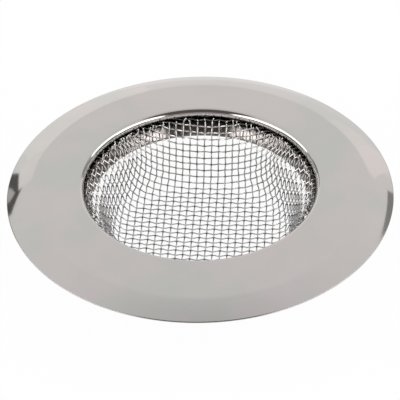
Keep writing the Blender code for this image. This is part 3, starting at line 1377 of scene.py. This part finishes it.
@dataclass
class Studio:
    """Pale floor, white surroundings, two soft boxes, and the cards and strips that the metal reflects.

    Args:
        floor_size: length of the floor's side.
        floor_tones: the darker and the lighter grain of the floor.
        floor_white: share of plain white in the floor as the camera and the metal see it.
        sky: tones of the surroundings by height, from 0 at the horizon to 1 at the zenith.
        soft_box_azimuth: direction of the soft boxes in degrees, to the right and to the left.
        soft_box_elevation: their height above the horizon in degrees.
        soft_box_size: their width and height.
        soft_box_distance: how far away they stand.
        soft_box_radiance: how bright they are.
        cards: the cards, sheets and strips.
    """

    floor_size: float = 6.0
    floor_tones: tuple[Colour, Colour] = ((0.86, 0.86, 0.86), (0.90, 0.90, 0.90))
    floor_white: float = 0.97
    sky: tuple[tuple[float, Colour], ...] = (
        (0.0, (0.92, 0.92, 0.92)),
        (0.34, (0.90, 0.90, 0.90)),
        (0.385, (0.835, 0.83, 0.825)),
        (0.62, (0.83, 0.83, 0.83)),
        (0.82, (0.79, 0.79, 0.80)),
        (0.92, (0.75, 0.75, 0.76)),
        (0.98, (0.67, 0.67, 0.68)),
        (1.0, (0.63, 0.63, 0.64)),
    )
    soft_box_azimuth: float = 102.0
    soft_box_elevation: float = 35.5
    soft_box_size: Pair = (1.05, 0.30)
    soft_box_distance: float = 0.70
    soft_box_radiance: float = 1.5
    cards: tuple[Card, ...] = (
        Card("card_overhead", 180.0, 56.0, 0.90, (60.0, 68.0), (0.12, 0.108, 0.104)),
        Card("card_ahead", 180.0, 12.0, 0.90, (60.0, 19.0), (0.42, 0.40, 0.39)),
        Card("card_left", -38.0, 23.8, 1.40, (19.0, 11.5), (0.11, 0.11, 0.105), 14.0),
        Card("card_left_light", -25.2, 24.2, 1.33, (8.0, 9.2), (0.95, 0.93, 0.92), -21.0),
        Card("card_left_glint", -34.7, 23.7, 1.335, (3.7, 4.8), (0.55, 0.54, 0.53)),
        Card("card_far_left", -56.0, 17.0, 1.50, (26.0, 25.0), (0.40, 0.39, 0.38)),
        Card("card_right", 56.0, 15.0, 1.50, (24.0, 24.0), (0.34, 0.33, 0.32)),
        Card("card_right_edge", 44.6, 31.4, 1.40, (8.0, 19.0), (0.30, 0.30, 0.29), 42.0),
        Card("sheet_left", -14.5, 13.0, 1.70, (19.0, 22.0), (0.98, 0.965, 0.96)),
        Card("sheet_right", 22.0, 20.5, 1.70, (15.0, 13.0), (0.97, 0.95, 0.945), -18.0),
        Card("card_low_left", -102.0, 4.0, 1.50, (60.0, 22.0), (0.20, 0.19, 0.185)),
        Card("card_low_right", 102.0, 4.0, 1.50, (60.0, 22.0), (0.20, 0.19, 0.185)),
        Card("strip_left", -123.0, 22.0, 1.20, (46.0, 10.0), (2.8, 2.68, 2.62)),
        Card("strip_right", 123.0, 22.0, 1.20, (46.0, 10.0), (2.8, 2.68, 2.62)),
    )

    def build(self) -> None:
        """Build the floor, the world, the lamps and the cards."""
        self.build_floor()
        self.build_world()
        for side in (-1.0, 1.0):
            self.build_soft_box(side)
        for card in self.cards:
            self.build_card(card)

    def build_floor(self) -> None:
        """Build the floor, which shows white and keeps the object's shadow."""
        made, graph = new_material("floor_white")
        seen = self.seen_rays(graph)
        speckle = graph.noise(graph.add("TexCoord", {}, {}, "Object"), 400.0)
        tone = graph.blend(speckle, *self.floor_tones)
        matt = graph.add("BsdfDiffuse", {}, {"Color": tone}, "BSDF")
        white = graph.add("Emission", {}, {"Color": (1.0, 1.0, 1.0, 1.0), "Strength": 1.0})
        both = graph.add("MixShader", {}, {0: seen * self.floor_white, 1: matt, 2: white})
        graph.node("OutputMaterial", {}, {"Surface": both})
        self.add_sheet("floor", self.floor_size / 2, self.floor_size / 2, made)

    @staticmethod
    def seen_rays(graph: Graph) -> Channel:
        """Find the rays that show the floor: the camera's, or those seen in metal or through glass.

        Args:
            graph: the floor's nodes.

        Returns:
            1 for such rays, 0 for the rest.
        """
        path = graph.node("LightPath", {}, {})
        kinds = ("Is Camera Ray", "Is Glossy Ray", "Is Transmission Ray")
        camera, glossy, through = (Channel(graph, path.outputs[kind]) for kind in kinds)
        return (camera + glossy + through).clamp()

    def build_world(self) -> None:
        """Build the surroundings: the sky's tones, and plain white for the camera."""
        world = bpy.data.worlds.new("studio")
        world.use_nodes = True
        graph = Graph(world.node_tree)
        direction = graph.add("TexCoord", {}, {}, "Generated")
        height = graph.add("SeparateXYZ", {}, {0: direction}, 2)
        studio = graph.add("ValToRGB", {"stops": self.sky}, {"Fac": height})
        camera = graph.add("LightPath", {}, {}, "Is Camera Ray")
        colour = graph.blend(camera, studio, (1.0, 1.0, 1.0))
        light = graph.add("Background", {}, {"Color": colour, "Strength": 1.0})
        graph.node("OutputWorld", {}, {"Surface": light})
        bpy.context.scene.world = world

    def build_soft_box(self, side: float) -> None:
        """Build a soft box on one side of the object.

        Args:
            side: -1 for the left, 1 for the right.
        """
        lamp = bpy.data.lights.new("soft_box", "AREA")
        lamp.shape = "RECTANGLE"
        lamp.size, lamp.size_y = self.soft_box_size
        area = self.soft_box_size[0] * self.soft_box_size[1]
        lamp.energy = self.soft_box_radiance * math.pi * area
        obj = bpy.data.objects.new("soft_box", lamp)
        obj.location = way(side * self.soft_box_azimuth, self.soft_box_elevation) * self.soft_box_distance
        obj.rotation_euler = (-obj.location).to_track_quat("-Z", "Y").to_euler()
        obj.visible_camera = False
        bpy.context.scene.collection.objects.link(obj)

    def build_card(self, card: Card) -> None:
        """Build a card that faces the object and shows only in reflections.

        Args:
            card: its place, size and tone.
        """
        made, graph = new_material(card.name)
        glow = graph.add("Emission", {}, {"Color": (*card.tone, 1.0)})
        graph.node("OutputMaterial", {}, {"Surface": glow})
        obj = self.add_sheet(card.name, *card.half_size, made)
        obj.location = card.centre
        facing = (-card.centre).to_track_quat("Z", "Y")
        obj.rotation_euler = (facing @ Quaternion((0.0, 0.0, 1.0), math.radians(-card.lean))).to_euler()
        obj.visible_camera = False
        obj.visible_diffuse = False
        obj.visible_shadow = False

    @staticmethod
    def add_sheet(
        name: str,
        half_width: float,
        half_height: float,
        material: bpy.types.Material,
    ) -> bpy.types.Object:
        """Add a flat rectangle to the stage.

        Args:
            name: its name.
            half_width: half its length along x.
            half_height: half its length along y.
            material: its material.

        Returns:
            The new object.
        """
        signs = ((-1, -1), (1, -1), (1, 1), (-1, 1))
        corners = [(x * half_width, y * half_height, 0.0) for x, y in signs]
        obj = new_object(name, corners, [(0, 1, 2, 3)], material)
        return obj


@dataclass
class Viewpoint:
    """The camera, placed as the photograph was taken.

    Args:
        target: the middle of the opening, at the crown's height.
        elevation: angle above the horizon.
        distance: from the target to the lens.
        roll: how far the picture is turned.
        focal: focal length in pixels of the picture.
        target_at: where the target shows, in pixels right of the picture's middle and above it.
        picture_width: width in pixels of that picture.
        sensor: width of the sensor in millimetres.
    """

    target: Vector
    elevation: float = math.radians(39.15)
    distance: float = 0.800
    roll: float = math.radians(1.22)
    focal: float = 2713.6
    target_at: Pair = (-0.12, 18.0)
    picture_width: float = 400.0
    sensor: float = 36.0

    def build(self) -> None:
        """Build the camera and make it the scene's."""
        data = bpy.data.cameras.new("camera")
        data.sensor_width = self.sensor
        data.lens = self.focal / self.picture_width * self.sensor
        back = Vector((0.0, -math.cos(self.elevation), math.sin(self.elevation)))
        level = Vector((1.0, 0.0, 0.0))
        upright = back.cross(level)
        right = level * math.cos(self.roll) - upright * math.sin(self.roll)
        up = level * math.sin(self.roll) + upright * math.cos(self.roll)
        sight = (-back * self.focal - right * self.target_at[0] - up * self.target_at[1]).normalized()
        right = (right - sight * right.dot(sight)).normalized()
        up = right.cross(sight)
        obj = bpy.data.objects.new("camera", data)
        turned = Matrix((right, up, -sight)).transposed().to_4x4()
        obj.matrix_world = Matrix.Translation(self.target + back * self.distance) @ turned
        bpy.context.scene.collection.objects.link(obj)
        bpy.context.scene.camera = obj


def main() -> None:
    """Dress the strainer and set up the studio."""
    logging.basicConfig(level=logging.INFO, format="%(name)s: %(message)s")
    seat = Seat()
    Brim(seat).build()
    ClampBand(seat).build()
    cloth = WireCloth(seat)
    for direction in Direction:
        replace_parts(cloth.build(direction), "mesh_basket")
    Studio().build()
    Viewpoint(Vector((0.0, 0.0, seat.crown))).build()
    bpy.context.scene.view_settings.view_transform = "Standard"


if __name__ == "__main__":
    main()
